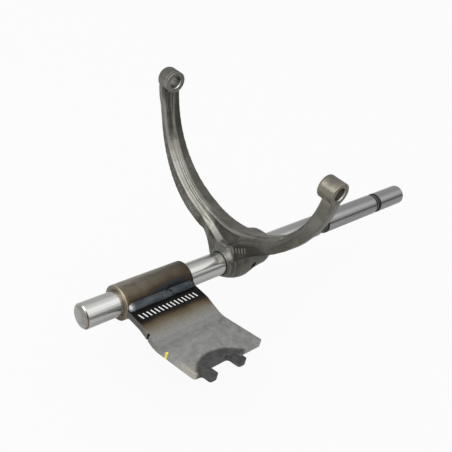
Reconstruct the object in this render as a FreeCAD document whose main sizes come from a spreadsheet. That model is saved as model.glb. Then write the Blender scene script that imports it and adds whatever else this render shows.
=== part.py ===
import FreeCAD, Part
import math
import os
import Sketcher

# Shift rail with a forged two-armed fork and a welded driver plate, in millimetres.
# Lengths along the rail axis X are counted from the machined end on the driver side;
# at the end everything moves back so that the near journal's middle is the origin.
# Z is square to the rail and to the boss axis, and +Y is the longer arm's side.

doc = FreeCAD.newDocument("shift_fork_rail")
table = doc.addObject("Spreadsheet::Sheet", "Sizes")

sizes = [
    # the rail and its two black grooves
    ("rail_diameter", 20.0),
    ("rail_length", 400.0),
    ("rail_chamfer", 1.0),
    ("journal_middle", 15.0),
    ("rail_clearance", 0.05),
    ("wide_groove_start", 260.0),
    ("wide_groove_width", 12.5),
    ("narrow_groove_start", 350.3),
    ("narrow_groove_width", 8.4),
    ("groove_depth", 1.0),
    # the sleeve with the welded driver plate
    ("sleeve_start", 30.5),
    ("sleeve_length", 64.3),
    ("sleeve_diameter", 28.0),
    ("sleeve_chamfer", 0.8),
    ("plate_thickness", 5.4),
    ("plate_top", 3.4),
    ("plate_first_bend", 30.0),
    ("plate_low_run", 46.0),
    ("plate_second_bend", 51.5),
    ("plate_drop", 3.6),
    ("plate_end", 91.0),
    ("plate_rise", 8.9),
    ("tip_rise", 1.9),
    ("plate_bend", 9.0),
    ("plate_corner", 2.5),
    ("prong_centre", 23.2),
    ("prong_spread", 33.6),
    ("prong_reach", 8.5),
    ("notch_width", 20.0),
    ("notch_depth", 2.8),
    ("nick_place", 39.6),
    ("nick_depth", 2.0),
    ("prong_fillet", 2.0),
    ("bead_leg", 4.2),
    ("bead_height", 4.3),
    ("bead_inset", 0.7),
    ("bead_taper", 2.6),
    # the forged fork: hub, yoke and bosses, set along the rail from the boss plane
    ("boss_plane", 144.5),
    ("hub_lead", 10.0),
    ("hub_length", 52.0),
    ("hub_nose_radius", 11.6),
    ("hub_ring_radius", 17.2),
    ("hub_tail_radius", 11.2),
    ("hub_chamfer", 0.8),
    ("spot_radius", 19.7),
    ("hump_length", 57.8),
    ("hump_radius", 15.0),
    ("hump_side", 2.5),
    ("hump_height", 6.0),
    ("yoke_side", 18.0),
    ("yoke_height", 116.3),
    ("arm_depth", 12.0),
    ("rib_radius", 5.0),
    ("boss_reach", 84.8),
    ("boss_proud", 2.6),
    ("left_boss_length", 13.8),
    ("right_boss_length", 15.0),
    ("boss_round", 2.5),
    ("left_boss_diameter", 19.0),
    ("right_boss_diameter", 18.0),
    ("boss_bore", 10.0),
    ("boss_bore_chamfer", 0.8),
    ("front_lead_boss", 1.9),
    ("front_lead_root", 8.4),
    ("back_trail_boss", 7.9),
    ("back_trail_root", 15.0),
    ("parting_lead_boss", 0.5),
    ("parting_trail_arm", 4.9),
    ("crest_lead", 4.5),
    # the spring pin that holds the fork on the rail
    ("pin_trail", 17.3),
    ("pin_diameter", 8.0),
    ("pin_bore", 4.6),
    ("pin_length", 27.0),
    ("pin_slot", 1.2),
    ("pin_tilt", 8.0),
]


class Size:
    """One number together with the sheet formula that gives it."""

    def __init__(self, value, text=None):
        self.value = float(value)
        self.text = text if text is not None else repr(float(value))

    def __add__(self, other):
        other = as_size(other)
        return Size(self.value + other.value, "(%s + %s)" % (self.text, other.text))

    def __sub__(self, other):
        other = as_size(other)
        return Size(self.value - other.value, "(%s - %s)" % (self.text, other.text))

    def __mul__(self, factor):
        return Size(self.value * factor, "(%s * %s)" % (self.text, repr(float(factor))))

    def __neg__(self):
        return Size(-self.value, "(0 - %s)" % self.text)


def as_size(number):
    return number if isinstance(number, Size) else Size(number)


def mix(first, second, share):
    return first + (second - first) * min(max(share, 0.0), 1.0)


S = {}
for row, (name, value) in enumerate(sizes, start=1):
    table.set("A%d" % row, name)
    table.set("B%d" % row, str(value))
    table.setAlias("B%d" % row, name)
    S[name] = Size(value, "Sizes." + name)
doc.recompute()


def bind(obj, path, size):
    obj.setExpression(path, as_size(size).text)


def new_body(name):
    body = doc.addObject("PartDesign::Body", name)
    body.Label = name
    return body


def origin_plane(body, role):
    for item in body.Origin.OriginFeatures:
        if item.Role == role:
            return item


def origin_sketch(body, name, role, shift=None):
    sketch = body.newObject("Sketcher::SketchObject", name)
    sketch.AttachmentSupport = (origin_plane(body, role), [""])
    sketch.MapMode = "FlatFace"
    if shift is not None:
        bind(sketch, "AttachmentOffset.Base.z", shift)
    return sketch


def fix_point(sketch, line, end, place):
    across, up = as_size(place[0]), as_size(place[1])
    number = sketch.addConstraint(Sketcher.Constraint("DistanceX", -1, 1, line, end, across.value))
    bind(sketch, "Constraints[%d]" % number, across)
    number = sketch.addConstraint(Sketcher.Constraint("DistanceY", -1, 1, line, end, up.value))
    bind(sketch, "Constraints[%d]" % number, up)


def polygon(sketch, points):
    """Closed outline of straight sides with every corner tied to the sheet."""
    count = len(points)
    places = [FreeCAD.Vector(as_size(a).value, as_size(b).value, 0) for a, b in points]
    first = sketch.GeometryCount
    for i in range(count):
        sketch.addGeometry(Part.LineSegment(places[i], places[(i + 1) % count]), False)
    for i in range(count):
        following = first + (i + 1) % count
        sketch.addConstraint(Sketcher.Constraint("Coincident", first + i, 2, following, 1))
        fix_point(sketch, first + i, 1, points[i])


def circle(sketch, centre, radius):
    across, up, radius = as_size(centre[0]), as_size(centre[1]), as_size(radius)
    middle = FreeCAD.Vector(across.value, up.value, 0)
    line = sketch.addGeometry(Part.Circle(middle, FreeCAD.Vector(0, 0, 1), radius.value), False)
    fix_point(sketch, line, 3, centre)
    number = sketch.addConstraint(Sketcher.Constraint("Radius", line, radius.value))
    bind(sketch, "Constraints[%d]" % number, radius)


def pad(body, name, sketch, length, reverse=False):
    feature = body.newObject("PartDesign::Pad", name)
    feature.Profile = sketch
    bind(feature, "Length", length)
    feature.Reversed = reverse
    return feature


def pocket(body, name, sketch, length=None, reverse=False):
    feature = body.newObject("PartDesign::Pocket", name)
    feature.Profile = sketch
    if length is None:
        feature.Type = "ThroughAll"
        feature.Midplane = True
    else:
        bind(feature, "Length", length)
    feature.Reversed = reverse
    return feature


def turned(body, kind, name, sketch):
    """Profile turned round its own level line, as a solid or a groove."""
    feature = body.newObject("PartDesign::" + kind, name)
    feature.Profile = sketch
    feature.ReferenceAxis = (sketch, ["H_Axis"])
    feature.Angle = 360.0
    return feature


def rounded(body, name, base, radius, chosen):
    """Fillet on the straight edges whose middle point the test accepts."""
    doc.recompute()
    names = []
    for number, line in enumerate(base.Shape.Edges, start=1):
        if line.Curve.TypeId == "Part::GeomLine" and chosen(line):
            names.append("Edge%d" % number)
    if not names:
        raise RuntimeError(name + " found no edges")
    feature = body.newObject("PartDesign::Fillet", name)
    feature.Base = (base, names)
    bind(feature, "Radius", radius)
    return feature


def loft(body, name, sketches):
    feature = body.newObject("PartDesign::AdditiveLoft", name)
    feature.Profile = sketches[0]
    feature.Sections = sketches[1:]
    feature.Ruled = True
    return feature


rail_radius = S["rail_diameter"] * 0.5
bore_radius = rail_radius + S["rail_clearance"]
hub_start = S["boss_plane"] - S["hub_lead"]
pin_place = S["boss_plane"] + S["pin_trail"]

# selector rail: turned bar with two black grooves and the cross hole for the pin
rail = new_body("selector_rail")
blank = origin_sketch(rail, "rail_profile", "XZ_Plane")
polygon(blank, [
    (0, 0),
    (S["rail_length"], 0),
    (S["rail_length"], rail_radius - S["rail_chamfer"]),
    (S["rail_length"] - S["rail_chamfer"], rail_radius),
    (S["rail_chamfer"], rail_radius),
    (0, rail_radius - S["rail_chamfer"]),
])
turned(rail, "Revolution", "rail_bar", blank)
for label in ("wide_groove", "narrow_groove"):
    start, width = S[label + "_start"], S[label + "_width"]
    floor = rail_radius - S["groove_depth"]
    ring = origin_sketch(rail, label + "_profile", "XZ_Plane")
    polygon(ring, [
        (start, rail_radius + 1),
        (start + S["groove_depth"] * 0.3, floor),
        (start + width - S["groove_depth"] * 1.6, floor),
        (start + width, rail_radius + 1),
    ])
    turned(rail, "Groove", label, ring)


def pin_hole(body, name):
    sketch = origin_sketch(body, name + "_circle", "XZ_Plane")
    tilt = FreeCAD.Rotation(FreeCAD.Vector(1, 0, 0), S["pin_tilt"].value)
    sketch.AttachmentOffset = FreeCAD.Placement(FreeCAD.Vector(0, 0, 0), tilt)
    bind(sketch, "AttachmentOffset.Rotation.Angle", S["pin_tilt"])
    circle(sketch, (pin_place, 0), S["pin_diameter"] * 0.5)
    return sketch


pocket(rail, "rail_pin_hole", pin_hole(rail, "rail_pin_hole"))

# driver sleeve: plain tube with broken edges
sleeve = new_body("driver_sleeve")
sleeve_end = S["sleeve_start"] + S["sleeve_length"]
sleeve_radius = S["sleeve_diameter"] * 0.5
tube = origin_sketch(sleeve, "sleeve_profile", "XZ_Plane")
edge = S["sleeve_chamfer"]
polygon(tube, [
    (S["sleeve_start"], bore_radius + edge),
    (S["sleeve_start"] + edge, bore_radius),
    (sleeve_end - edge, bore_radius),
    (sleeve_end, bore_radius + edge),
    (sleeve_end, sleeve_radius - edge * 0.4),
    (sleeve_end - edge * 0.4, sleeve_radius),
    (S["sleeve_start"] + edge * 0.4, sleeve_radius),
    (S["sleeve_start"], sleeve_radius - edge * 0.4),
])
turned(sleeve, "Revolution", "sleeve_tube", tube)

# driver plate: bent strip, cut to a two-pronged end
plate = new_body("driver_plate")
side = origin_sketch(plate, "plate_side", "YZ_Plane", S["sleeve_start"])
top, thick = S["plate_top"], S["plate_thickness"]
low = top - S["plate_drop"]
tip_rise = S["plate_rise"] + S["tip_rise"]
polygon(side, [
    (-(sleeve_radius * 0.7), top),
    (-S["plate_first_bend"], top),
    (-S["plate_low_run"], low),
    (-S["plate_second_bend"], low),
    (-(S["plate_end"] + S["prong_reach"]), tip_rise),
    (-(S["plate_end"] + S["prong_reach"]), tip_rise - thick * 1.02),
    (-S["plate_second_bend"], low - thick),
    (-S["plate_low_run"], low - thick),
    (-S["plate_first_bend"], top - thick),
    (-(sleeve_radius * 0.7), top - thick),
])
strip = pad(plate, "plate_strip", side, S["sleeve_length"])
bends = [-S[name].value for name in ("plate_first_bend", "plate_low_run", "plate_second_bend")]


def on_bend(line):
    middle, way = line.CenterOfMass, line.tangentAt(line.FirstParameter)
    return abs(way.x) > 0.99 and min(abs(middle.y - place) for place in bends) < 0.1


rounded(plate, "plate_bends", strip, S["plate_bend"], on_bend)
centre = S["sleeve_start"] + S["prong_centre"]
half_spread, half_notch = S["prong_spread"] * 0.5, S["notch_width"] * 0.5
shoulder, beyond = -S["plate_end"], -(S["plate_end"] + S["prong_reach"] * 2)
waste = origin_sketch(plate, "plate_waste", "XY_Plane")
polygon(waste, [
    (S["sleeve_start"] - 2, shoulder),
    (centre - half_spread, shoulder),
    (centre - half_spread, beyond),
    (S["sleeve_start"] - 2, beyond),
])
polygon(waste, [
    (centre + half_spread, shoulder),
    (sleeve_end + 2, shoulder),
    (sleeve_end + 2, beyond),
    (centre + half_spread, beyond),
])
polygon(waste, [
    (centre - half_notch, shoulder + S["notch_depth"]),
    (centre + half_notch, shoulder + S["notch_depth"]),
    (centre + half_notch, beyond),
    (centre - half_notch, beyond),
])
polygon(waste, [
    (S["sleeve_start"] - 1, -S["nick_place"] + 1.2),
    (S["sleeve_start"] - 1, -S["nick_place"] - 1.2),
    (S["sleeve_start"] + S["nick_depth"], -S["nick_place"]),
])
outline_cut = pocket(plate, "plate_outline", waste)


def on_corner(line):
    """Upright edges at the plate's two outer corners, the prongs' roots and the notch."""
    middle, way = line.CenterOfMass, line.tangentAt(line.FirstParameter)
    across = [S["sleeve_start"].value, sleeve_end.value]
    across += [(centre + half_spread * turn).value for turn in (1, -1)]
    if abs(way.z) < 0.99:
        return False
    at_shoulder = abs(middle.y - shoulder.value) < 0.1 and min(abs(middle.x - x) for x in across) < 0.1
    return at_shoulder or abs(middle.y - (shoulder + S["notch_depth"]).value) < 0.1


def on_tip(line):
    middle, way = line.CenterOfMass, line.tangentAt(line.FirstParameter)
    return abs(way.z) > 0.99 and middle.y < -(S["plate_end"] + S["prong_reach"]).value + 0.1


corners = rounded(plate, "plate_corners", outline_cut, S["plate_corner"], on_corner)
rounded(plate, "prong_tips", corners, S["prong_fillet"], on_tip)
seat = origin_sketch(plate, "plate_seat", "YZ_Plane", S["sleeve_start"])
circle(seat, (0, 0), sleeve_radius)
pocket(plate, "plate_sleeve_seat", seat)


# weld beads along both corners of plate and sleeve
def bead(name, level, turn):
    body = new_body(name)
    leg, rise = S["bead_leg"], S["bead_height"] * turn
    root = -sleeve_radius
    start = S["sleeve_start"] + S["bead_inset"]
    end = sleeve_end - S["bead_inset"]
    taper = S["bead_taper"]
    rows = [(start, 0.5), (start + taper * 0.35, 0.8), (start + taper, 1.0)]
    rows += [(end - taper, 1.0), (end - taper * 0.35, 0.8), (end, 0.5)]
    sections = []
    for place, share in rows:
        sketch = origin_sketch(body, name + "_profile", "YZ_Plane", place)
        polygon(sketch, [
            (root * 0.7, level),
            (root - leg * (0.85 * share), level),
            (root - leg * (0.78 * share), level + rise * (0.36 * share)),
            (root - leg * (0.46 * share), level + rise * (0.7 * share)),
            (root + leg * (0.02 * share), level + rise * (0.93 * share)),
            (root + leg * (0.5 * share), level + rise * share),
            (root * 0.7, level + rise * (0.9 * share)),
        ])
        sections.append(sketch)
    loft(body, name + "_run", sections)
    fit = origin_sketch(body, name + "_seat", "YZ_Plane", S["sleeve_start"])
    circle(fit, (0, 0), sleeve_radius)
    pocket(body, name + "_sleeve_seat", fit)
    return body


bead_upper = bead("weld_bead_upper", top, 1)
bead_lower = bead("weld_bead_lower", top - thick, -1)

# forged shift fork: a loft swept round the yoke centre from boss to boss
fork = new_body("shift_fork")


def station(angle, rows):
    """Section across the arm; each row is a radius from the yoke centre and an X."""
    sketch = fork.newObject("Sketcher::SketchObject", "arm_section")
    turn = math.radians(angle)
    outward = FreeCAD.Vector(0, math.cos(turn), math.sin(turn))
    along = FreeCAD.Vector(1, 0, 0)
    facing = FreeCAD.Rotation(outward, along, outward.cross(along), "XYZ")
    base = FreeCAD.Vector(0, S["yoke_side"].value, S["yoke_height"].value)
    sketch.Placement = FreeCAD.Placement(base, facing)
    bind(sketch, "Placement.Base.y", S["yoke_side"])
    bind(sketch, "Placement.Base.z", S["yoke_height"])
    polygon(sketch, rows)
    return sketch


inner = S["boss_reach"] + S["boss_proud"]  # the boss faces stand proud of the arms' inside
outer = inner + S["arm_depth"]
crest = inner + S["rib_radius"]


def blend(keys, place):
    """Smooth value at place between (place, value) pairs given in rising order."""
    for (low, first), (high, second) in zip(keys, keys[1:]):
        if place <= high:
            share = min(max((place - low) / (high - low), 0.0), 1.0)
            return mix(as_size(first), as_size(second), share * share * (3 - 2 * share))
    return as_size(keys[-1][1])


front_boss = S["boss_plane"] - S["front_lead_boss"]
front_root = S["boss_plane"] - S["front_lead_root"]
back_boss = S["boss_plane"] + S["back_trail_boss"]
back_root = S["boss_plane"] + S["back_trail_root"]
parting_boss = S["boss_plane"] - S["parting_lead_boss"]
parting_arm = S["boss_plane"] + S["parting_trail_arm"]
plane = S["boss_plane"] - S["crest_lead"]


def back_plane(away):
    """Rear face of the arm, which deepens steadily from the boss to the hub."""
    return mix(back_boss, back_root, max((away - 5) / 66.0, 0.0) ** 0.75)


def section(angle, away):
    """Arm section; away is the angle from the nearer boss axis in degrees."""
    boss = S["left_boss_length" if angle > -90 else "right_boss_length"]
    rim = blend([(5, S["boss_reach"] + boss - 0.4), (15, outer)], away)
    front = blend([(4, front_boss - 4.5), (18, front_boss), (80, front_root)], away)
    parting = blend([(4, parting_boss), (42, parting_arm)], away)
    lip_x = blend([(4, plane - 3.6), (16, plane + 0.4), (45, plane - 0.1)], away)
    flange = blend([(28, 0.3), (42, 0.9), (70, 0.6)], away)
    flange_x = blend([(28, parting - 0.7), (42, plane + 6.0), (75, plane + 5.0)], away)
    rib = blend([(28, 2.9), (42, 2.1)], away)
    rib_x = blend([(4, plane - 1.8), (16, plane + 1.3), (28, plane + 1.3),
                   (42, plane + 3.2), (60, plane + 3.0), (78, plane + 3.0)], away)
    return station(angle, [
        (inner + 0.8, back_plane(away)),
        (inner, parting),
        (inner + flange, flange_x),
        (inner + flange + 1.2, flange_x + 0.2),
        (inner + rib + 0.5, rib_x + 1.2),
        (inner + rib, rib_x),
        (crest, lip_x),
        (rim, front),
        (rim + 0.2, parting),
        (rim - 1.2, back_plane(away)),
    ])


def root_section(row):
    """Section near the hub, where the outer rib runs out to the hub's front lip."""
    angle, flange, flange_x, foot, foot_x, rim, rim_x, lip, lip_x, land, land_x = row
    back = back_plane(min(-angle, 180 + angle))
    return station(angle, [
        (inner + 0.8, back),
        (inner, parting_arm),
        (inner + flange, plane + flange_x),
        (inner + flange + (foot - flange) * 0.3, plane + flange_x + (foot_x - flange_x) * 0.3 + 0.5),
        (inner + foot, plane + foot_x),
        (inner + rim, plane + rim_x),
        (inner + lip, plane + lip_x),
        (inner + land, plane + land_x),
        (inner + land + 0.3, parting_arm),
        (inner + land - 1.0, back),
    ])


# angle, then radius and plane of the inner flange, the panel at the rib's foot, the rib's
# inner edge, its lip and the land; counted from the yoke radius and the crest plane
root_rows = [
    (-79, 0.6, 5.0, 1.8, 4.6, 2.2, 3.0, 5.0, -0.1, 12.0, -3.9),
    (-82, 0.5, 4.7, 2.6, 3.6, 3.1, 2.4, 6.4, -0.6, 11.6, -4.2),
    (-85, 0.5, 4.4, 3.7, 2.7, 4.2, 1.9, 7.9, -1.1, 11.3, -4.6),
    (-88, 0.4, 4.0, 5.3, 1.9, 5.9, 1.3, 8.9, -2.0, 14.2, -5.2),
    (-91, 0.3, 3.6, 6.5, 0.9, 7.1, 0.3, 9.7, -3.1, 20.6, -5.5),
    (-92.5, 0.3, 3.4, 7.1, 0.3, 7.6, -0.3, 9.9, -3.8, 26.4, -5.6),
    (-94, 0.3, 3.2, 7.6, -0.4, 8.1, -1.0, 10.1, -4.5, 28.6, -5.7),
    (-97, 0.3, 2.9, 8.5, -1.9, 8.9, -2.5, 10.3, -5.9, 28.6, -6.0),
    (-100, 0.4, 2.8, 9.0, -3.0, 9.4, -4.4, 10.3, -6.8, 28.0, -6.1),
    (-103, 0.7, 2.6, 9.3, -3.6, 9.7, -5.2, 10.9, -6.8, 27.0, -6.1),
    (-106, 1.0, 2.5, 6.6, -2.0, 7.2, -4.6, 9.6, -5.8, 24.0, -5.6),
    (-109, 1.3, 2.4, 3.9, -0.6, 4.5, -3.2, 7.4, -4.4, 20.4, -4.9),
    (-113, 1.6, 2.2, 2.6, 1.0, 3.0, -1.9, 5.6, -2.8, 16.4, -4.2),
    (-118, 2.0, 1.9, 2.8, 1.2, 3.2, -1.1, 5.4, -1.8, 13.8, -3.0),
    (-124, 2.4, 1.5, 3.0, 1.3, 3.5, -0.5, 5.3, -1.0, 12.5, -1.8),
    (-131, 2.6, 1.2, 3.1, 1.3, 3.7, -0.1, 5.2, -0.5, 12.1, -0.9),
]
sections = [section(-a, a) for a in (1, 5, 10, 15, 21, 27, 33, 39, 45, 51, 57, 63, 70)]
sections += [root_section(row) for row in root_rows]
sections += [section(a - 180, a) for a in (43, 38, 33, 27, 21, 15, 10, 5, 1)]
loft(fork, "yoke_arms", sections)

# bosses at both arm ends, on one axis square to the rail, with forged rounding behind
for side_name, turn in (("left", 1), ("right", -1)):
    radius, soft = S[side_name + "_boss_diameter"] * 0.5, S["boss_round"]
    face = S["yoke_side"] + S["boss_reach"] * turn
    end = face + S[side_name + "_boss_length"] * turn
    rim, back_rim = (0.12, 1.0) if turn > 0 else (0.6, 0.12)
    outline = origin_sketch(fork, side_name + "_boss_profile", "YZ_Plane", S["boss_plane"])
    bind(outline, "AttachmentOffset.Base.y", S["yoke_height"])
    polygon(outline, [
        (face, 0),
        (face, radius - soft * rim),
        (face + soft * (rim * 0.3 * turn), radius - soft * (rim * 0.3)),
        (face + soft * (rim * turn), radius),
        (end - soft * (back_rim * turn), radius),
        (end - soft * (back_rim * 0.3 * turn), radius - soft * (back_rim * 0.3)),
        (end, radius - soft * back_rim),
        (end, 0),
    ])
    turned(fork, "Revolution", side_name + "_boss", outline)

# hub round the rail: turned outline with a ring where the arms join, and a rear hump
hub_end = hub_start + S["hub_length"]
ring = S["hub_ring_radius"]
hub = origin_sketch(fork, "hub_profile", "XZ_Plane")
polygon(hub, [
    (hub_start, 0),
    (hub_start, S["hub_nose_radius"]),
    (hub_start + 2.4, S["hub_nose_radius"] + 1.3),
    (hub_start + 5.6, ring - 2.8),
    (hub_start + 11.5, ring - 0.8),
    (hub_start + 17, ring),
    (hub_start + 21, ring - 0.1),
    (hub_start + 26, ring - 1.1),
    (hub_start + 32, ring - 2.5),
    (hub_start + 38.5, ring - 3.4),
    (hub_end - 5.4, ring - 3.9),
    (hub_end - 2.4, ring - 4.9),
    (hub_end, S["hub_tail_radius"]),
    (hub_end, 0),
])
turned(fork, "Revolution", "hub_body", hub)
hump_end = hub_start + S["hump_length"]
hump = origin_sketch(fork, "hump_profile", "XZ_Plane", -S["hump_side"])
bind(hump, "AttachmentOffset.Base.y", S["hump_height"])
polygon(hump, [
    (S["boss_plane"], 0),
    (S["boss_plane"], S["hump_radius"]),
    (hump_end - 20.3, S["hump_radius"]),
    (hump_end - 14.3, S["hump_radius"] - 1.4),
    (hump_end - 11.3, S["hump_radius"] - 2.3),
    (hump_end - 8.3, S["hump_radius"] - 4.1),
    (hump_end - 5.3, S["hump_radius"] - 6.2),
    (hump_end - 2.3, S["hump_radius"] - 8.4),
    (hump_end, S["hump_radius"] - 10.0),
    (hump_end, 0),
])
turned(fork, "Revolution", "hub_hump", hump)

# machined faces and bores
spot = origin_sketch(fork, "spot_circle", "YZ_Plane", hub_start)
circle(spot, (0, 0), S["spot_radius"])
pocket(fork, "spot_face", spot, Size(12))
bore = origin_sketch(fork, "rail_bore_profile", "XZ_Plane")
edge = S["hub_chamfer"]
polygon(bore, [
    (hub_start - 12, 0),
    (hub_start - 12, bore_radius + edge + 12),
    (hub_start + edge, bore_radius),
    (hump_end + 2, bore_radius),
    (hump_end + 2, 0),
])
turned(fork, "Groove", "rail_bore", bore)
pocket(fork, "hub_pin_hole", pin_hole(fork, "hub_pin_hole"))
bevel = S["boss_bore_chamfer"]
pivot_radius = S["boss_bore"] * 0.5
for side_name, turn in (("left", 1), ("right", -1)):
    face = S["yoke_side"] + S["boss_reach"] * turn
    end = face + S[side_name + "_boss_length"] * turn
    outline = origin_sketch(fork, side_name + "_bore_profile", "YZ_Plane", S["boss_plane"])
    bind(outline, "AttachmentOffset.Base.y", S["yoke_height"])
    polygon(outline, [
        (face - 2.0 * turn, 0),
        (face - 2.0 * turn, pivot_radius + bevel + 2),
        (face + bevel * turn, pivot_radius),
        (end - bevel * turn, pivot_radius),
        (end + 2.0 * turn, pivot_radius + bevel + 2),
        (end + 2.0 * turn, 0),
    ])
    turned(fork, "Groove", side_name + "_bore", outline)

# spring pin through hub and rail
pin = new_body("fork_pin")
disc = pin_hole(pin, "pin_section")
circle(disc, (pin_place, 0), S["pin_bore"] * 0.5)
roll = pad(pin, "pin_roll", disc, S["pin_length"])
roll.Midplane = True
slot = origin_sketch(pin, "pin_slot_outline", "XY_Plane")
polygon(slot, [
    (pin_place - S["pin_slot"] * 0.5, S["pin_length"]),
    (pin_place - S["pin_slot"] * 0.5, -S["pin_length"]),
    (pin_place + S["pin_slot"] * 0.5, -S["pin_length"]),
    (pin_place + S["pin_slot"] * 0.5, S["pin_length"]),
])
pocket(pin, "pin_slot", slot, S["pin_diameter"], reverse=True)

parts = [rail, sleeve, plate, bead_upper, bead_lower, fork, pin]
for body in parts:
    bind(body, "Placement.Base.x", -S["journal_middle"])
doc.recompute()
for item in doc.Objects:
    if "Invalid" in item.State or "Error" in item.State:
        raise RuntimeError("%s did not build" % item.Name)
os.makedirs("parts", exist_ok=True)
for body in parts:
    shape = body.Shape
    if shape.isNull() or not shape.isValid():
        raise RuntimeError("%s has no valid shape" % body.Label)
    shape.exportStep("parts/%s.step" % body.Label)
    print(body.Label, round(shape.Volume), "mm3")
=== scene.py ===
import bpy, math
from mathutils import Matrix, Vector


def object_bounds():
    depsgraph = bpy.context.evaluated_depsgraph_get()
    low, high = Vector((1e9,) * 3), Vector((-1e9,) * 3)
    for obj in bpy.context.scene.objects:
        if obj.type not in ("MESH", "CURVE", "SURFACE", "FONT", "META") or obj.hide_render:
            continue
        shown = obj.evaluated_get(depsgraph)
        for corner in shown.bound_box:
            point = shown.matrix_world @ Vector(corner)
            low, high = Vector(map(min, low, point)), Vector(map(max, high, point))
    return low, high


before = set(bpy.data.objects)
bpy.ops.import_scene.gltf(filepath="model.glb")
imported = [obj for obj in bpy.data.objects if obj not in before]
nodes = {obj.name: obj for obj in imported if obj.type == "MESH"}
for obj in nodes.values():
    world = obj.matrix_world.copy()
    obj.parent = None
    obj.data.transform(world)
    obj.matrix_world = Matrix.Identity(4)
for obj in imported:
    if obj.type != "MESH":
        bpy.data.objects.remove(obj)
cadBox = [list(corner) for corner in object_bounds()]
mm = 0.001


# short words for building node materials
def newMaterial(name):
    mat = bpy.data.materials.new(name)
    mat.use_nodes = True
    tree = mat.node_tree
    return mat, tree, tree.nodes["Principled BSDF"]


def feed(tree, socket, value):
    if isinstance(value, bpy.types.NodeSocket):
        tree.links.new(value, socket)
    elif value is not None:
        socket.default_value = value


def maths(tree, job, a, b=None):
    n = tree.nodes.new("ShaderNodeMath")
    n.operation = job
    feed(tree, n.inputs[0], a)
    feed(tree, n.inputs[1], b)
    return n.outputs[0]


def chain(tree, job, values):
    total = values[0]
    for value in values[1:]:
        total = maths(tree, job, total, value)
    return total


def plus(tree, *values):
    return chain(tree, "ADD", values)


def times(tree, *values):
    return chain(tree, "MULTIPLY", values)


def most(tree, *values):
    return chain(tree, "MAXIMUM", values)


def minus(tree, a, b):
    return maths(tree, "SUBTRACT", a, b)


# 0 below low, 1 above high, eased between
def rise(tree, value, low, high):
    n = tree.nodes.new("ShaderNodeMapRange")
    n.interpolation_type = "SMOOTHSTEP"
    feed(tree, n.inputs["Value"], value)
    n.inputs["From Min"].default_value = low
    n.inputs["From Max"].default_value = high
    return n.outputs["Result"]


def fall(tree, value, low, high):
    return minus(tree, 1.0, rise(tree, value, low, high))


# 1 between low and high, with soft borders
def band(tree, value, low, high, edge):
    return minus(tree, rise(tree, value, low - edge, low + edge), rise(tree, value, high - edge, high + edge))


# a soft place on a piece: rows of measure, side and limits, in millimetres
def region(tree, at, rows):
    sides = {"above": rise, "below": fall, "within": band}
    shares = []
    for measure, side, *limits in rows:
        shares.append(sides[side](tree, at[measure], *[limit * mm for limit in limits]))
    return times(tree, *shares)


def regions(tree, at, places):
    return {name: region(tree, at, rows) for name, rows in places.items()}


def axes(tree):
    coords = tree.nodes.new("ShaderNodeTexCoord")
    n = tree.nodes.new("ShaderNodeSeparateXYZ")
    tree.links.new(coords.outputs["Object"], n.inputs[0])
    return n.outputs


def distance(tree, a, b, atA, atB):
    da = minus(tree, a, atA)
    db = minus(tree, b, atB)
    return maths(tree, "SQRT", plus(tree, times(tree, da, da), times(tree, db, db)))


# size in millimetres; a stretch below 1 draws the noise out along that axis
def noise(tree, size, detail, rough=0.55, stretch=(1, 1, 1)):
    coords = tree.nodes.new("ShaderNodeTexCoord")
    turn = tree.nodes.new("ShaderNodeMapping")
    turn.inputs["Scale"].default_value = stretch
    tree.links.new(coords.outputs["Object"], turn.inputs["Vector"])
    n = tree.nodes.new("ShaderNodeTexNoise")
    tree.links.new(turn.outputs[0], n.inputs["Vector"])
    n.inputs["Scale"].default_value = 1.0 / (size * mm)
    n.inputs["Detail"].default_value = detail
    n.inputs["Roughness"].default_value = rough
    return n.outputs[0]


# the noises of one finish, in the order of its rows
def grains(tree, rows):
    return [noise(tree, *row) for row in rows.values()]


def mixColour(tree, share, a, b):
    n = tree.nodes.new("ShaderNodeMix")
    n.data_type = "RGBA"
    feed(tree, n.inputs[0], share)
    for socket, value in ((n.inputs[6], a), (n.inputs[7], b)):
        feed(tree, socket, (*value, 1.0) if isinstance(value, tuple) else value)
    return n.outputs[2]


# lays tones over a colour in turn, each by its place and its strength there
def coat(tree, colour, *layers):
    for place, strength, tone in layers:
        colour = mixColour(tree, times(tree, place, strength), colour, tone)
    return colour


def stops(tree, value, points):
    n = tree.nodes.new("ShaderNodeValToRGB")
    feed(tree, n.inputs[0], value)
    ramp = n.color_ramp
    while len(ramp.elements) < len(points):
        ramp.elements.new(0.5)
    for element, (at, colour) in zip(ramp.elements, points):
        element.position = at
        element.color = (*colour, 1.0)
    return n.outputs[0]


def bump(tree, shader, height, depth, strength):
    n = tree.nodes.new("ShaderNodeBump")
    n.inputs["Distance"].default_value = depth
    n.inputs["Strength"].default_value = strength
    feed(tree, n.inputs["Height"], height)
    tree.links.new(n.outputs[0], shader.inputs["Normal"])


def finish(tree, shader, colour, roughness, metallic):
    feed(tree, shader.inputs["Base Color"], colour)
    feed(tree, shader.inputs["Roughness"], roughness)
    feed(tree, shader.inputs["Metallic"], metallic)


def dress(piece, mat):
    piece.data.materials.clear()
    piece.data.materials.append(mat)


# forged or welded skin: an even mesh, eased so that no edge stays knife sharp
def forge(piece, skin):
    remesh = piece.modifiers.new("evenSkin", "REMESH")
    remesh.mode = "VOXEL"
    remesh.voxel_size = skin["voxel"] * 1
    remesh.use_smooth_shade = True
    soften = piece.modifiers.new("easedEdges", "SMOOTH")
    soften.factor = 0.5
    soften.iterations = skin["easing"]
    thin = piece.modifiers.new("fewerFaces", "DECIMATE")
    thin.ratio = skin["kept"]


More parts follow.
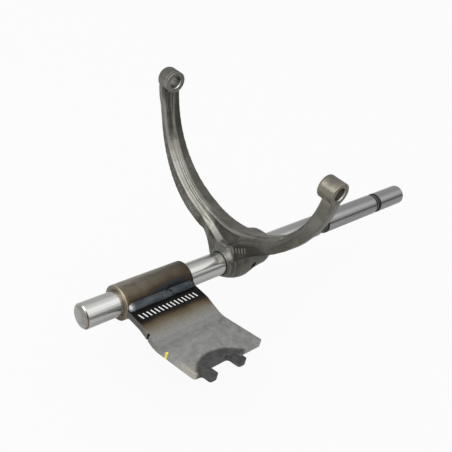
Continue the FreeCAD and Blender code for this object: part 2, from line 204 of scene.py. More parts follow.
# selector rail: ground along its length, with two black grooves
rail = {
    "steel": (0.64, 0.64, 0.625),
    "dullSteel": (0.54, 0.54, 0.52),
    "darkerFarSteel": (0.285, 0.293, 0.29),
    "shadedSteel": (0.15, 0.155, 0.155),
    "grooveBlack": (0.018, 0.018, 0.019),
    "grooveHighlight": (0.20, 0.20, 0.195),
    "endSteel": (0.36, 0.355, 0.335),
    "rimRust": (0.13, 0.085, 0.05),
    "gloss": 0.15,
    "lineDepth": 0.02 * mm,
    "lineStrength": 0.5,
    "nearEnd": -15 * mm,
    "rustWobble": 8 * mm,
    "grains": {  # size, detail, roughness and stretch
        "lines": (0.6, 4.0, 0.55, (1, 0.02, 0.02)),
        "streaks": (2.2, 3.0, 0.55, (0.03, 1, 1)),
        "patches": (14, 3.0),
    },
    "places": {  # from the first limit to the second; within ends with its softness
        "darkerFar": [("x", "above", 90, 300)],
        "farBelow": [("z", "below", -7, 3), ("x", "above", 90, 200)],
        "endFace": [("depth", "below", 0.05, 0.2)],
        "rim": [("depth", "within", 0.1, 0.9, 0.15), ("ragged", "below", -2, 4)],
        "wideGroove": [("x", "within", 245.0, 257.5, 0.2)],
        "narrowGroove": [("x", "within", 335.3, 343.7, 0.2)],
        "wideGrooveHighlight": [("x", "within", 254.5, 255.5, 0.4)],
        "narrowGrooveHighlight": [("x", "within", 339.2, 340.2, 0.35)],
    },
}


def groundSteel():
    mat, tree, shader = newMaterial("groundSteel")
    x, y, z = axes(tree)
    lines, streaks, patches = grains(tree, rail["grains"])
    place = regions(tree, {
        "x": x,
        "z": z,
        "depth": minus(tree, x, rail["nearEnd"]),
        "ragged": plus(tree, y, times(tree, patches, rail["rustWobble"])),
    }, rail["places"])
    grooves = plus(tree, place["wideGroove"], place["narrowGroove"])
    # painted highlight on the groove flanks, patchy
    highlightShare = plus(tree, place["narrowGrooveHighlight"], times(tree, place["wideGrooveHighlight"], 0.7))
    highlightShare = times(tree, highlightShare, rise(tree, patches, 0.3, 0.6))
    endTone = mixColour(tree, rise(tree, patches, 0.35, 0.65), rail["endSteel"], rail["dullSteel"])
    grooveTone = mixColour(tree, highlightShare, rail["grooveBlack"], rail["grooveHighlight"])
    colour = coat(
        tree, rail["steel"],
        (rise(tree, streaks, 0.42, 0.68), 1.0, rail["dullSteel"]),
        # darker along the rail from x 90 mm on
        (place["darkerFar"], 0.75, rail["darkerFarSteel"]),
        (place["farBelow"], 0.55, rail["shadedSteel"]),
        (place["endFace"], 1.0, endTone),
        (place["rim"], 0.85, rail["rimRust"]),
        (grooves, 1.0, grooveTone))
    dull = most(tree, times(tree, grooves, 0.25), times(tree, place["endFace"], 0.3))
    roughness = plus(tree, rail["gloss"], times(tree, lines, 0.1), dull)
    finish(tree, shader, colour, roughness, minus(tree, 1.0, times(tree, grooves, 0.5)))
    height = plus(tree, lines, times(tree, streaks, 0.3), times(tree, place["endFace"], patches, 3.0))
    bump(tree, shader, height, rail["lineDepth"], rail["lineStrength"])
    return mat


# shift fork: blasted forging with brown stains, worn edges, and painted highlights and shade
fork = {
    "voxel": 0.45 * mm,
    "easing": 2,
    "kept": 0.4,
    "scaleGrey": (0.108, 0.105, 0.090),
    "bareGrey": (0.180, 0.175, 0.153),
    "highlightGrey": (0.40, 0.392, 0.355),
    "wornAndHighlightedEdge": (0.46, 0.45, 0.41),
    "stainBrown": (0.088, 0.073, 0.048),
    "shadow": (0.030, 0.029, 0.023),
    "machined": (0.40, 0.40, 0.375),
    "boreGlint": (0.80, 0.79, 0.74),
    "warmSheen": (0.30, 0.255, 0.185),
    "metal": 0.9,
    "gloss": 0.31,
    "blastDepth": 0.10 * mm,
    "blastStrength": 0.8,
    "sharpness": (0.515, 0.60),  # pointiness from which an edge gets the worn tone and a painted highlight
    "hollowness": (0.43, 0.49),  # and below which a corner is dark
    "facingFront": (-0.98, -0.8),  # the normal's x on faces square to the rail
    "steepFront": (-0.9, -0.7),  # and on those up to 45 degrees off
    "yokeSide": 18 * mm,
    "bossLevel": 116.3 * mm,
    "bossReach": 84.8 * mm,
    "bossBare": (0.45, 0.15),  # machined share of the left and the right boss face
    "cutSkin": (0.5 * mm, 0.2 * mm),  # how deep the machined tone goes, and how softly it ends
    "boreAt": 129.5 * mm,
    "crestRadius": 92.6 * mm,
    "noseFace": 119.5 * mm,
    "noseBare": 0.42,
    "noseCorner": (-9.5 * mm, 14.5 * mm),
    "rootLean": 0.2,
    "drawnPitch": 2.5 * mm,
    "drawnFrom": 92 * mm,
    "drawnBend": (46 * mm, 0.09),  # from this y towards the hub the lines turn inwards, this steeply
    "forgeRidges": (121.4 * mm, 125.3 * mm, 131.3 * mm),
    "ridgeWidth": (0.3 * mm, 0.4 * mm),  # half its width, and how softly it ends
    "ridgeHeight": 4.0,
    "hubTicks": (21 * mm, 2.9 * mm, 5),  # first place, pitch and number
    "tickWidth": (0.3 * mm, 0.65 * mm),  # half the width at its top and at its foot
    "hubSlope": (0.843, 0.537),
    "grains": {
        "blasted": (0.9, 4.0, 0.65),
        "cloud": (16, 4.0),
        "stain": (7, 5.0, 0.7),
        "specks": (1.3, 1.0),
    },
    "places": {
        "leftArm": [("y", "above", 30, 46)],
        "rightArm": [("y", "below", -55, -25)],
        "highArm": [("z", "above", 70, 90)],
        "flank": [("crest", "below", -0.2, 0.5), ("x", "below", 132.6, 134.6), ("z", "below", 58, 78)],
        "crestLine": [("crest", "within", -2.2, 0.3, 0.4), ("z", "within", 62, 100, 5)],
        "edgeLine": [("x", "within", 130.9, 132.5, 0.4), ("radius", "below", 88.6, 89.6),
                     ("z", "within", 62, 104, 5)],
        "lessHighlight": [("y", "within", 32, 70, 9)],
        "rootRib": [("rootLine", "within", 96.7, 100.2, 0.3), ("y", "above", 3, 7), ("y", "below", 25, 40),
                    ("x", "below", 128.5, 129.5)],
        "rootLand": [("rootLine", "above", 100.4, 101.0), ("y", "within", 12, 38, 3), ("z", "below", 28, 34),
                     ("z", "above", 14, 19)],
        "panel": [("rootLine", "below", 95.8, 96.4), ("radius", "above", 88.5, 89.1),
                  ("y", "within", -9, 32, 2)],
        "yokeEdge": [("radius", "within", 87.6, 88.4, 0.25), ("x", "below", 130.5, 132),
                     ("y", "above", -40, -20)],
        "hubFront": [("y", "below", -10, -7), ("z", "within", 8, 37, 2), ("radius", "above", 92, 93)],
        "inside": [("radius", "below", 89.5, 91), ("x", "above", 133.2, 134.8)],
        "insideHigh": [("z", "above", 30, 75)],
        "groove": [("x", "within", 127.6, 130.6, 0.6), ("radius", "below", 90.4, 91.4),
                   ("z", "above", 62, 76)],
        "border": [("radius", "within", 94.6, 97.6, 0.5), ("z", "within", 24, 66, 4)],
        "drawnRun": [("y", "above", 24, 32)],
        "drawnLow": [("z", "below", 30, 50)],
        "drawnDark": [("z", "below", 36, 50)],
        "lipFoot": [("y", "below", -9, -6), ("x", "below", 124, 126), ("z", "below", 22, 26)],
        "noseFace": [("nose", "below", 0.1, 0.4)],
        "noseCorner": [("corner", "below", 0.5, 5.5), ("x", "below", 120.8, 121.6)],
        "crease": [("across", "within", 14.4, 15.9, 0.5), ("along", "within", 8, 20, 1),
                   ("x", "below", 120.8, 121.6)],
        "bosses": [("bossUp", "above", -11, -9.5)],
        "boreEdge": [("bore", "within", 5.0, 5.7, 0.2), ("bossUp", "below", -2, 3),
                     ("boreOut", "above", -2, 3)],
        "rightBoss": [("y", "below", -66, -60), ("z", "above", 92, 108)],
        "underHub": [("z", "below", 6, 9)],
        "tickRow": [("across", "within", 9.4, 13.6, 0.3), ("x", "below", 123, 124)],
    },
}


# what the fork's places are measured by
def forkMeasures(tree):
    x, y, z = axes(tree)
    radius = distance(tree, y, z, fork["yokeSide"], fork["bossLevel"])
    lean, climb = fork["hubSlope"]
    return {
        "x": x,
        "y": y,
        "z": z,
        "radius": radius,
        "crest": minus(tree, radius, fork["crestRadius"]),
        "rootLine": plus(tree, radius, times(tree, y, fork["rootLean"])),
        "along": plus(tree, times(tree, y, -lean), times(tree, z, climb)),
        "across": plus(tree, times(tree, y, climb), times(tree, z, lean)),
        "nose": minus(tree, x, fork["noseFace"]),
        "corner": distance(tree, y, z, *fork["noseCorner"]),
        "bossUp": minus(tree, z, fork["bossLevel"]),
        "boreOut": minus(tree, x, fork["boreAt"]),
        "bore": distance(tree, x, z, fork["boreAt"], fork["bossLevel"]),
    }


# painted highlight on the left arm's flank and crest, going on down the rib to the hub
def paintedArmHighlight(tree, place):
    crest = most(tree, place["crestLine"], times(tree, place["edgeLine"], 0.9))
    arm = times(tree, place["leftArm"], most(tree, place["flank"], times(tree, crest, 0.9)))
    arm = times(tree, arm, minus(tree, 1.0, times(tree, place["lessHighlight"], 0.65)))
    return most(tree, arm, place["rootRib"])


# lines drawn along the painted arm highlight, negative in a trough and positive on a ridge
def drawnLines(tree, at, place):
    bendFrom, bend = fork["drawnBend"]
    turnIn = times(tree, most(tree, minus(tree, bendFrom, at["y"]), 0.0), bend)
    out = minus(tree, minus(tree, at["radius"], turnIn), fork["drawnFrom"])
    wave = maths(tree, "COSINE", times(tree, out, 2 * math.pi / fork["drawnPitch"]))
    return times(tree, wave, place["drawnRun"], plus(tree, 0.15, times(tree, place["drawnLow"], 0.4)))


# painted shade on the panel, hub front, inner side, groove and root land
def paintedShade(tree, place, steep):
    deeper = plus(tree, 0.3, times(tree, place["insideHigh"], 0.4))
    return most(
        tree,
        times(tree, place["panel"], 0.75),
        times(tree, place["hubFront"], steep, 0.75),
        times(tree, place["inside"], place["leftArm"], deeper),
        times(tree, place["groove"], place["leftArm"], 0.7),
        times(tree, place["rootLand"], 0.95))


# cut faces: the hub's nose and the two bosses
def bareCuts(tree, at, place):
    cuts = times(tree, place["noseFace"], fork["noseBare"])
    deep, soft = fork["cutSkin"]
    for way, share in zip((1, -1), fork["bossBare"]):
        face = fork["yokeSide"] + way * fork["bossReach"]
        skin = band(tree, at["y"], face - deep, face + deep, soft)
        cuts = plus(tree, cuts, times(tree, place["bosses"], skin, share))
    return cuts


# flash ridges left by the dies under the hub
def dieRidges(tree, at, place):
    ridges = 0.0
    half, soft = fork["ridgeWidth"]
    for middle in fork["forgeRidges"]:
        ridge = band(tree, at["x"], middle - half, middle + half, soft)
        ridges = plus(tree, ridges, times(tree, ridge, place["underHub"]))
    return ridges


# a row of plain raised ticks on the hub's front
def hubTicks(tree, at, place):
    first, pitch, count = fork["hubTicks"]
    beat = maths(tree, "PINGPONG", minus(tree, at["along"], first), pitch / 2)
    run = band(tree, at["along"], first - pitch / 3, first + pitch * (count - 0.6), 0.1 * mm)
    return times(tree, fall(tree, beat, *fork["tickWidth"]), run, place["tickRow"])


def forgedSteel():
    mat, tree, shader = newMaterial("forgedSteel")
    at = forkMeasures(tree)
    place = regions(tree, at, fork["places"])
    blasted, cloud, stain, specks = grains(tree, fork["grains"])
    shape = tree.nodes.new("ShaderNodeNewGeometry")
    way = tree.nodes.new("ShaderNodeSeparateXYZ")
    tree.links.new(shape.outputs["Normal"], way.inputs[0])
    facing = fall(tree, way.outputs[0], *fork["facingFront"])
    steep = fall(tree, way.outputs[0], *fork["steepFront"])
    wornAndHighlighted = rise(tree, shape.outputs["Pointiness"], *fork["sharpness"])
    hollow = fall(tree, shape.outputs["Pointiness"], *fork["hollowness"])
    hollow = times(tree, hollow, minus(tree, 1.0, place["lipFoot"]))

    # where the painted highlight lies on the left arm's flank, crest and root rib
    lightened = paintedArmHighlight(tree, place)
    drawn = drawnLines(tree, at, place)
    troughs = times(tree, lightened, most(tree, times(tree, drawn, -0.6), 0.0), place["drawnDark"])
    chipsAndEdgeHighlight = times(tree, rise(tree, specks, 0.62, 0.67), place["border"], place["leftArm"])
    # the specks are chips; the yoke's inner edge line is a painted highlight
    chipsAndEdgeHighlight = most(tree, times(tree, place["yokeEdge"], 0.5), chipsAndEdgeHighlight)
    # strength of the painted highlight on the nose corner, patchy with the stains
    corner = plus(tree, 0.25, times(tree, rise(tree, stain, 0.35, 0.6), 0.4))
    ridges = dieRidges(tree, at, place)
    ticks = hubTicks(tree, at, place)
    colour = coat(
        tree, fork["scaleGrey"],
        (rise(tree, cloud, 0.35, 0.7), 1.0, fork["bareGrey"]),
        (rise(tree, stain, 0.52, 0.66), 0.6, fork["stainBrown"]),
        (rise(tree, blasted, 0.4, 0.75), 0.3, fork["bareGrey"]),
        # painted highlight on the high faces square to the rail, the right arm and the left arm
        (times(tree, facing, place["highArm"]), 0.35, fork["highlightGrey"]),
        (place["rightArm"], 0.14, fork["highlightGrey"]),
        (lightened, plus(tree, 0.65, drawn), fork["highlightGrey"]),
        (troughs, 1.0, fork["shadow"]),
        # worn edges with a painted highlight, found by pointiness
        (wornAndHighlighted, 0.7, fork["wornAndHighlightedEdge"]),
        (paintedShade(tree, place, steep), 0.72, fork["shadow"]),
        (chipsAndEdgeHighlight, 0.9, fork["wornAndHighlightedEdge"]),
        (hollow, 0.8, fork["shadow"]),
        # painted highlight on the hub's nose corner
        (place["noseCorner"], corner, fork["wornAndHighlightedEdge"]),
        (place["crease"], 0.75, fork["shadow"]),
        (bareCuts(tree, at, place), 0.7, fork["machined"]),
        (place["boreEdge"], 0.9, fork["boreGlint"]),
        (times(tree, place["rightBoss"], rise(tree, cloud, 0.3, 0.65)), 0.45, fork["warmSheen"]),
        # painted highlight on the die ridges and the ticks, patchy with the stains
        (times(tree, ridges, rise(tree, stain, 0.3, 0.6)), 0.75, fork["wornAndHighlightedEdge"]),
        (times(tree, ticks, rise(tree, stain, 0.3, 0.55)), 0.6, fork["wornAndHighlightedEdge"]))
    roughness = plus(tree, fork["gloss"], times(tree, blasted, 0.14), times(tree, lightened, 0.14))
    finish(tree, shader, colour, roughness, fork["metal"])
    raised = times(tree, plus(tree, ridges, ticks), fork["ridgeHeight"])
    height = plus(tree, blasted, times(tree, stain, 0.6), raised)
    bump(tree, shader, height, fork["blastDepth"], fork["blastStrength"])
    return mat


# colours that the heat of the weld leaves on sleeve and plate
heat = {
    "straw": (0.50, 0.36, 0.17),
    "olive": (0.108, 0.094, 0.068),
    "brown": (0.055, 0.038, 0.024),
    "blue": (0.030, 0.036, 0.045),
    "black": (0.010, 0.010, 0.010),
}

# turned sleeve, dark beside the weld and pale on its far side
sleeve = {
    "steel": (0.30, 0.285, 0.245),
    "paleTint": (0.165, 0.15, 0.115),
    "strawEdge": (0.27, 0.19, 0.09),
    "faceSteel": (0.235, 0.215, 0.175),
    "rimHighlight": (0.50, 0.43, 0.31),
    "metal": 0.9,
    "gloss": 0.28,
    "turnedDepth": 0.03 * mm,
    "turnedStrength": 0.6,
    "run": (15.5 * mm, 79.8 * mm),
    "tintSpread": 2.4,  # radians round the sleeve that the tints take
    "strawTurn": (0.7, 1.6),
    "grains": {
        "cloud": (11, 4.0, 0.55, (1, 0.6, 0.6)),
        "turned": (0.8, 3.0, 0.55, (1, 0.03, 0.03)),
        "smears": (5, 4.0, 0.55, (0.5, 1, 1)),
    },
    "places": {
        "nearEnd": [("fromStart", "below", 0.8, 4)],
        "farEnd": [("fromEnd", "above", -16, -1)],
        "face": [("fromStart", "below", 0.02, 0.1)],
        "rim": [("fromStart", "within", 0.06, 0.9, 0.1)],
        "faceLow": [("z", "below", -13, 2)],
        "boreRim": [("bore", "below", 10.6, 11.4)],
    },
}


def tintedSleeve():
    mat, tree, shader = newMaterial("tintedSleeve")
    x, y, z = axes(tree)
    start, end = sleeve["run"]
    cloud, turned, smears = grains(tree, sleeve["grains"])
    place = regions(tree, {
        "z": z,
        "fromStart": minus(tree, x, start),
        "fromEnd": minus(tree, x, end),
        "bore": distance(tree, y, z, 0.0, 0.0),
    }, sleeve["places"])
    turn = maths(tree, "ARCTAN2", z, times(tree, y, -1.0))  # 0 beside the plate, a quarter turn on top
    drift = times(tree, minus(tree, cloud, 0.5), 0.8)
    hotter = times(tree, rise(tree, x, start, end), -0.35)
    tint = stops(tree, maths(tree, "DIVIDE", plus(tree, turn, drift, hotter), sleeve["tintSpread"]), [
        (0.10, heat["black"]), (0.20, heat["blue"]), (0.29, heat["brown"]),
        (0.45, heat["olive"]), (0.62, sleeve["paleTint"]), (0.82, sleeve["steel"])])
    faceTone = coat(
        tree, sleeve["faceSteel"],
        (rise(tree, cloud, 0.45, 0.7), 0.15, heat["straw"]),
        (place["faceLow"], 0.75, heat["brown"]),
        (place["boreRim"], 0.8, heat["blue"]))
    colour = coat(
        tree, tint,
        (times(tree, place["nearEnd"], fall(tree, turn, *sleeve["strawTurn"])), 0.6, sleeve["strawEdge"]),
        (place["farEnd"], 0.65, heat["brown"]),
        (rise(tree, smears, 0.5, 0.7), 0.3, heat["brown"]),
        (place["face"], 1.0, faceTone),
        # painted highlight round the chamfer at the near end
        (place["rim"], 0.8, sleeve["rimHighlight"]))
    roughness = plus(tree, sleeve["gloss"], times(tree, smears, 0.2), times(tree, place["face"], 0.1))
    finish(tree, shader, colour, roughness, sleeve["metal"])
    height = plus(tree, turned, times(tree, smears, 0.5))
    bump(tree, shader, height, sleeve["turnedDepth"], sleeve["turnedStrength"])
    return mat


# driver plate: rolled steel, burnt beside the weld and hardened round the notch
plate = {
    "grey": (0.42, 0.42, 0.405),
    "darkGrey": (0.315, 0.315, 0.305),
    "fineGrey": (0.50, 0.50, 0.485),
    "mottle": (0.62, 0.62, 0.60),
    "hardDark": (0.085, 0.088, 0.088),
    "hardGrey": (0.13, 0.13, 0.125),
    "hardBrown": (0.15, 0.115, 0.08),
    "ringDark": (0.16, 0.16, 0.155),
    "scratch": (0.70, 0.70, 0.68),
    "cornerHighlight": (0.68, 0.65, 0.56),
    "sawnGrey": (0.27, 0.265, 0.245),
    "paintYellow": (0.80, 0.68, 0.05),
    "tickWhite": (0.75, 0.75, 0.74),
    "burnt": [  # from the weld outwards, as shares of the burnt reach
        (0.555, heat["black"]), (0.60, (0.030, 0.022, 0.014)), (0.65, (0.10, 0.072, 0.042)),
        (0.70, (0.15, 0.12, 0.08)), (0.78, (0.215, 0.205, 0.175)), (0.90, (0.25, 0.25, 0.24))],
    "metal": 0.88,
    "gloss": 0.33,
    "grainDepth": 0.05 * mm,
    "grainStrength": 0.6,
    "edgeBevel": 0.8 * mm,
    "bevelAngle": 35,
    "burntReach": 50 * mm,
    "burntWobble": 7 * mm,
    "hardWobble": 2 * mm,
    "paintWobble": 1 * mm,
    "hardCentre": (39.0 * mm, -103.0 * mm),
    "hardRadius": 24.7 * mm,
    "ringMarks": ((73.0 * mm, -56.8 * mm), (55.2 * mm, -76.3 * mm)),
    "ringRadius": 2.9 * mm,
    "ringWidth": 0.25 * mm,
    "nick": (15.5 * mm, -39.6 * mm),
    "tickPitch": 3.7 * mm,
    "tickSlant": 0.25,
    "grains": {
        "blotch": (5, 5.0, 0.6),
        "fine": (1.1, 4.0, 0.6),
        "wide": (26, 2.0),
        "scratches": (1.6, 2.0, 0.55, (0.16, 1, 1)),
    },
    "places": {
        "heated": [("out", "below", 38, 66)],
        "mottled": [("out", "above", 31, 40)],
        "hardBorder": [("hard", "below", 0, 2.2)],
        "hardEnd": [("hard", "below", -0.7, 0.3)],
        "scratched": [("y", "below", -55, -45)],
        "corner": [("x", "below", 16.3, 18.2), ("y", "below", -84, -62)],
        "nick": [("nick", "below", 0.9, 1.7)],
        "sawn": [("x", "below", 15.6, 15.8), ("y", "above", -62, -44)],
        "paintDot": [("paint", "within", -61.4, -59.2, 0.4), ("x", "below", 16.6, 17.0)],
        "ticks": [("beat", "below", 0.45, 0.65), ("x", "within", 19.5, 75.0, 0.1),
                  ("y", "within", -26.2, -21.2, 0.15), ("z", "above", 3.0, 3.2)],
    },
}


def rolledPlate():
    mat, tree, shader = newMaterial("rolledPlate")
    x, y, z = axes(tree)
    blotch, fine, wide, scratches = grains(tree, plate["grains"])
    hardAway = distance(tree, x, y, *plate["hardCentre"])
    hardAway = plus(tree, hardAway, times(tree, minus(tree, blotch, 0.5), plate["hardWobble"]))
    slant = plus(tree, x, times(tree, y, plate["tickSlant"]))
    out = plus(tree, times(tree, y, -1.0), times(tree, minus(tree, wide, 0.5), plate["burntWobble"]))
    place = regions(tree, {
        "x": x,
        "y": y,
        "z": z,
        "out": out,
        "hard": minus(tree, hardAway, plate["hardRadius"]),
        "nick": distance(tree, x, y, *plate["nick"]),
        "paint": plus(tree, y, times(tree, fine, plate["paintWobble"])),
        "beat": maths(tree, "PINGPONG", slant, plate["tickPitch"] / 2),
    }, plate["places"])
    rings = 0.0
    radius, width = plate["ringRadius"], plate["ringWidth"]
    for middle in plate["ringMarks"]:
        ring = band(tree, distance(tree, x, y, *middle), radius - width, radius + width, width)
        rings = plus(tree, rings, ring)
    scratches = times(tree, rise(tree, scratches, 0.64, 0.70), rise(tree, blotch, 0.45, 0.6))
    burntTone = stops(tree, times(tree, out, 1 / plate["burntReach"]), plate["burnt"])
    hardTone = mixColour(tree, rise(tree, blotch, 0.4, 0.62), plate["hardDark"], plate["hardGrey"])
    ticks = times(tree, place["ticks"], fall(tree, fine, 0.62, 0.7))  # chipped here and there
    colour = coat(
        tree, plate["darkGrey"],
        (rise(tree, blotch, 0.36, 0.66), 1.0, plate["grey"]),
        (rise(tree, fine, 0.4, 0.7), 0.35, plate["fineGrey"]),
        (place["heated"], 1.0, burntTone),
        (times(tree, place["mottled"], rise(tree, fine, 0.42, 0.7)), 0.16, plate["mottle"]),
        (place["hardBorder"], 0.8, plate["hardBrown"]),
        (place["hardEnd"], 1.0, hardTone),
        (times(tree, rings, rise(tree, wide, 0.3, 0.6)), 0.6, plate["ringDark"]),
        (times(tree, scratches, place["scratched"]), 0.4, plate["scratch"]),
        # painted highlight along the plate's edge by the corner
        (place["corner"], 0.6, plate["cornerHighlight"]),
        (place["nick"], 1.0, heat["black"]),
        (place["sawn"], 0.5, plate["sawnGrey"]),
        (place["paintDot"], 1.0, plate["paintYellow"]),
        (ticks, 0.9, plate["tickWhite"]))
    painted = most(tree, ticks, place["paintDot"])
    roughness = plus(tree, plate["gloss"], times(tree, blotch, 0.2), times(tree, painted, 0.2))
    finish(tree, shader, colour, roughness, times(tree, minus(tree, 1.0, painted), plate["metal"]))
    height = plus(tree, fine, blotch, times(tree, rings, 1.5))
    bump(tree, shader, height, plate["grainDepth"], plate["grainStrength"])
    return mat


# weld metal: slate blue, rippled across the run, with a painted highlight where the run began
weld = {
    "voxel": 0.35 * mm,
    "easing": 6,
    "kept": 0.6,
    "slate": (0.042, 0.052, 0.060),
    "slateLight": (0.095, 0.107, 0.114),
    "soot": (0.012, 0.012, 0.013),
    "start": (0.42, 0.44, 0.44),
    "metal": 0.88,
    "gloss": 0.25,
    "rippleDepth": 0.08 * mm,
    "rippleStrength": 0.6,
    "ripple": 1.5 * mm,
    "rippleBow": 0.7,
    "middle": (-19 * mm, 3 * mm),
    "startWobble": 4 * mm,
    "grains": {
        "along": (7, 4.0, 0.55, (0.35, 1, 1)),
        "fine": (1.0, 4.0),
        "spots": (3, 3.0),
    },
    "places": {
        "start": [("ragged", "below", 18.2, 24.2)],
        "sooty": [("x", "within", 46.2, 75.1, 5)],
        "runOut": [("x", "above", 74.1, 79.1)],
    },
}


def weldSkin():
    mat, tree, shader = newMaterial("weldSkin")
    x, y, z = axes(tree)
    along, fine, spots = grains(tree, weld["grains"])
    ragged = plus(tree, x, times(tree, along, weld["startWobble"]))
    place = regions(tree, {"x": x, "ragged": ragged}, weld["places"])
    colour = coat(
        tree, weld["slate"],
        (rise(tree, along, 0.38, 0.66), 1.0, weld["slateLight"]),
        # painted highlight where the run began
        (place["start"], 0.75, weld["start"]),
        (times(tree, place["sooty"], rise(tree, spots, 0.56, 0.64)), 1.0, weld["soot"]),
        (place["runOut"], 0.6, weld["soot"]))
    finish(tree, shader, colour, plus(tree, weld["gloss"], times(tree, fine, 0.2)), weld["metal"])
    bow = plus(tree, x, times(tree, distance(tree, y, z, *weld["middle"]), weld["rippleBow"]))
    ripples = maths(tree, "SINE", times(tree, bow, 2 * math.pi / weld["ripple"]))
    height = plus(tree, times(tree, ripples, 0.5), fine)
    bump(tree, shader, height, weld["rippleDepth"], weld["rippleStrength"])
    return mat


# spring pin: dark rolled strip
pin = {
    "strip": (0.05, 0.05, 0.052),
    "lightened": (0.11, 0.108, 0.105),
    "metal": 0.9,
    "gloss": 0.35,
    "rubs": (2, 3.0),
}


def springSteel():
    mat, tree, shader = newMaterial("springSteel")
    rubs = noise(tree, *pin["rubs"])
    colour = mixColour(tree, rubs, pin["strip"], pin["lightened"])
    finish(tree, shader, colour, plus(tree, pin["gloss"], times(tree, rubs, 0.15)), pin["metal"])
    return mat


for name in ("selector_rail", "driver_sleeve", "driver_plate", "fork_pin"):
    nodes[name].data.shade_smooth()
dress(nodes["selector_rail"], groundSteel())
print("rail dressed")
forge(nodes["shift_fork"], fork)
dress(nodes["shift_fork"], forgedSteel())
print("fork dressed")
bevel = nodes["driver_plate"].modifiers.new("brokenEdges", "BEVEL")
bevel.width = plate["edgeBevel"]
bevel.segments = 3
bevel.limit_method = "ANGLE"
bevel.angle_limit = math.radians(plate["bevelAngle"])
bevel.harden_normals = True
dress(nodes["driver_plate"], rolledPlate())
dress(nodes["driver_sleeve"], tintedSleeve())
weldMat = weldSkin()
for name in ("weld_bead_upper", "weld_bead_lower"):
    forge(nodes[name], weld)
    dress(nodes[name], weldMat)
dress(nodes["fork_pin"], springSteel())
print("sleeve, plate, welds and pin dressed")

# the studio: a pale floor that the camera sees nearly white
studio = {
    "floorDrop": 55 * mm,
    "floorHalf": 6,
    "floorTone": 0.46,
    "floorRough": 0.9,
    "floorWhite": 0.92,
    "horizon": 0.16,
    "ceiling": 0.75,
    "ceilingFrom": (0.10, 0.5),
    "backdrop": 0.55,
    "backdropWay": (0.6, 0.8),
    "backdropFrom": (0.25, 0.6),
    "overBackdrop": 0.4,
    "overFrom": (0.70, 0.85),
    "lamps": (  # direction, glow, and the cosines at its border and its heart
        ((0.47, -0.33, 0.82), 0.45, (0.90, 0.99)),
        ((-0.49, -0.22, 0.84), 2.6, (0.82, 0.99))),
    "tableLight": {
        "spot": (-0.7, 0.3, 0.6),
        "target": (-0.1, 0.12, -0.07),
        "size": (0.6, 0.6),
        "power": 2.5,
    },
}
white = (1, 1, 1, 1)
low = cadBox[0][2] - studio["floorDrop"]
half = studio["floorHalf"]
floorMesh = bpy.data.meshes.new("studioFloor")
corners = [(-half, -half, low), (half, -half, low), (half, half, low), (-half, half, low)]
floorMesh.from_pydata(corners, [], [(0, 1, 2, 3)])
studioFloor = bpy.data.objects.new("studioFloor", floorMesh)
bpy.context.collection.objects.link(studioFloor)
floorMat, floorTree, floorShader = newMaterial("paleFloor")
floorShader.inputs["Base Color"].default_value = (*[studio["floorTone"]] * 3, 1)
floorShader.inputs["Roughness"].default_value = studio["floorRough"]
path = floorTree.nodes.new("ShaderNodeLightPath")
glow = floorTree.nodes.new("ShaderNodeEmission")
glow.inputs["Color"].default_value = white
glow.inputs["Strength"].default_value = 1.0
blend = floorTree.nodes.new("ShaderNodeMixShader")
feed(floorTree, blend.inputs[0], times(floorTree, path.outputs["Is Camera Ray"], studio["floorWhite"]))
feed(floorTree, blend.inputs[1], floorShader.outputs[0])
feed(floorTree, blend.inputs[2], glow.outputs[0])
floorTree.links.new(blend.outputs[0], floorTree.nodes["Material Output"].inputs[0])
floorMesh.materials.append(floorMat)

# the room by direction: a bright ceiling, a dark horizon in front, a mid grey backdrop behind
world = bpy.data.worlds.new("studio")
bpy.context.scene.world = world
world.use_nodes = True
sky = world.node_tree
room = sky.nodes["Background"]
heading = sky.nodes.new("ShaderNodeTexCoord")
toward = sky.nodes.new("ShaderNodeSeparateXYZ")
sky.links.new(heading.outputs["Generated"], toward.inputs[0])
east, north, upward = toward.outputs
eastShare, northShare = studio["backdropWay"]
rearward = plus(sky, times(sky, east, eastShare), times(sky, north, northShare))
backShare = rise(sky, rearward, *studio["backdropFrom"])
ceiling = times(sky, rise(sky, upward, *studio["ceilingFrom"]), studio["ceiling"])
overBackdrop = times(sky, rise(sky, upward, *studio["overFrom"]), studio["overBackdrop"])
front = times(sky, plus(sky, studio["horizon"], ceiling), minus(sky, 1.0, backShare))
behind = times(sky, plus(sky, studio["backdrop"], overBackdrop), backShare)
strength = plus(sky, front, behind)
for heart, lampGlow, spread in studio["lamps"]:
    facing = plus(sky, *[times(sky, part, share) for part, share in zip((east, north, upward), heart)])
    strength = plus(sky, strength, times(sky, rise(sky, facing, *spread), lampGlow))
room.inputs["Color"].default_value = white
feed(sky, room.inputs["Strength"], strength)
backdrop = sky.nodes.new("ShaderNodeBackground")
backdrop.inputs["Color"].default_value = white
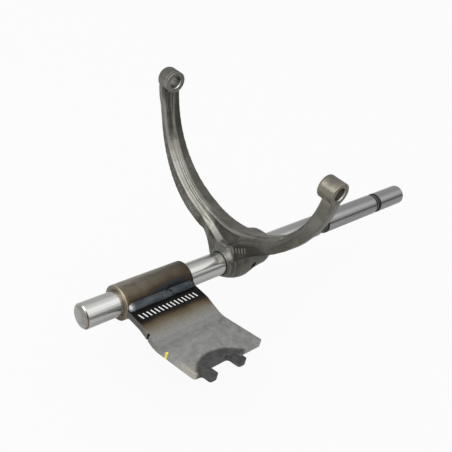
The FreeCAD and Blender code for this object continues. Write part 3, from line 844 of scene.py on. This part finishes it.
backdrop.inputs["Strength"].default_value = 1.0
skyPath = sky.nodes.new("ShaderNodeLightPath")
skyMix = sky.nodes.new("ShaderNodeMixShader")
sky.links.new(skyPath.outputs["Is Camera Ray"], skyMix.inputs[0])
sky.links.new(room.outputs[0], skyMix.inputs[1])
sky.links.new(backdrop.outputs[0], skyMix.inputs[2])
sky.links.new(skyMix.outputs[0], sky.nodes["World Output"].inputs[0])


def softbox(name, spot, target, size, power):
    light = bpy.data.lights.new(name, "AREA")
    light.shape = "RECTANGLE"
    light.size, light.size_y = size
    light.energy = power
    box = bpy.data.objects.new(name, light)
    bpy.context.collection.objects.link(box)
    box.location = spot
    box.rotation_euler = (Vector(target) - Vector(spot)).to_track_quat("-Z", "Y").to_euler()


softbox("tableLight", **studio["tableLight"])
print("studio lit")

# the camera: azimuth, height and roll in degrees, lens and sensor in millimetres
view = {
    "place": (-0.2325, -0.28822, 0.33849),
    "azimuth": -50.4521,
    "height": 33.4188,
    "roll": 14.7055,
    "lens": 53.531,
    "sensor": 36.0,
    "nearest": 0.01,
}
azimuth, height, roll = (math.radians(view[angle]) for angle in ("azimuth", "height", "roll"))
back = Vector((math.sin(azimuth) * math.cos(height), -math.cos(azimuth) * math.cos(height), math.sin(height)))
side = Vector((math.cos(azimuth), math.sin(azimuth), 0))
above = back.cross(side)
right = math.cos(roll) * side + math.sin(roll) * above
up = -math.sin(roll) * side + math.cos(roll) * above
cameraData = bpy.data.cameras.new("catalogueCamera")
cameraData.lens = view["lens"]
cameraData.sensor_width = view["sensor"]
cameraData.clip_start = view["nearest"]
camera = bpy.data.objects.new("catalogueCamera", cameraData)
bpy.context.collection.objects.link(camera)
camera.matrix_world = Matrix((
    (right.x, up.x, back.x, view["place"][0]),
    (right.y, up.y, back.y, view["place"][1]),
    (right.z, up.z, back.z, view["place"][2]),
    (0, 0, 0, 1)))
bpy.context.scene.camera = camera
bpy.context.scene.view_settings.view_transform = "Standard"
print("camera set")

bpy.context.view_layer.update()
